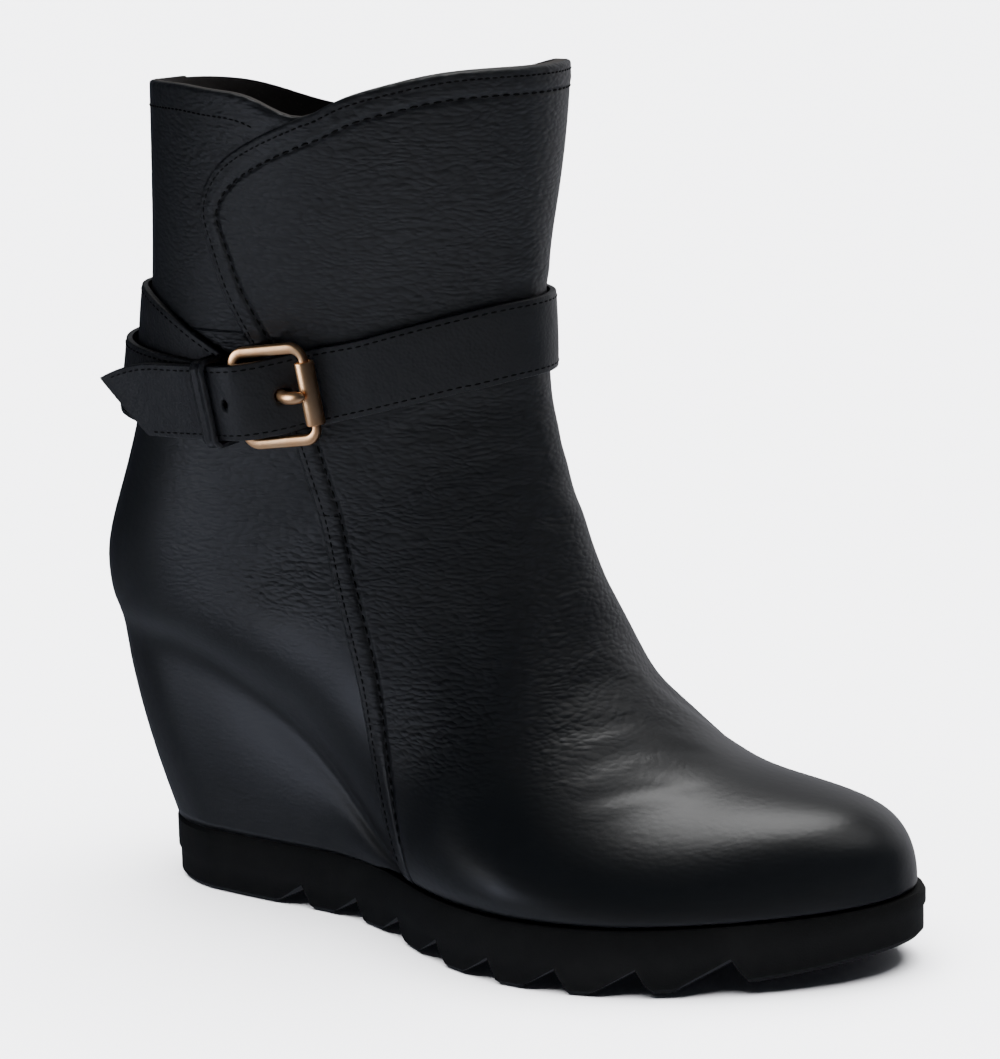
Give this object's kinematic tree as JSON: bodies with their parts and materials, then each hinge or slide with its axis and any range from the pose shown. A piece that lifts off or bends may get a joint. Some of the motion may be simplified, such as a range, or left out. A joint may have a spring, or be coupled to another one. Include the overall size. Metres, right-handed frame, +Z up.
{
  "type": "ankle boot",
  "caption": "Right wedge ankle boot with a wrapped ankle strap, roller buckle and saw-tooth outsole, open at its collar for the foot.",
  "frame": {"origin": "on the floor under the middle of the heel, 44 mm ahead of the heel's rearmost bulge, on the heel's centre line", "axes": "+X to the toe, +Y to the inner side of the foot, +Z up; the buckle is on the outer side, -Y"},
  "size_m": [0.2406, 0.0996, 0.2218],
  "materials": {
    "outsole": "matte moulded dark rubber",
    "wedge_heel": "smooth waxed near-black leather",
    "insole": "matte dark lining leather",
    "upper": "near-black pebbled leather, glossy on the toe and heel",
    "ankle_strap": "near-black leather with stitched edges",
    "buckle_strap": "near-black leather with stitched edges",
    "strap_keeper": "near-black leather",
    "buckle_frame": "satin rose brass",
    "buckle_roller": "satin rose brass",
    "buckle_prong": "satin rose brass"
  },
  "bodies": {
    "root": {"outsole": "outsole", "wedge_heel": "wedge_heel", "insole": "insole", "upper": "upper", "ankle_strap": "ankle_strap", "buckle_strap": "buckle_strap", "strap_keeper": "strap_keeper", "buckle_frame": "buckle_frame", "buckle_roller": "buckle_roller", "buckle_prong": "buckle_prong"}
  },
  "joints": []
}
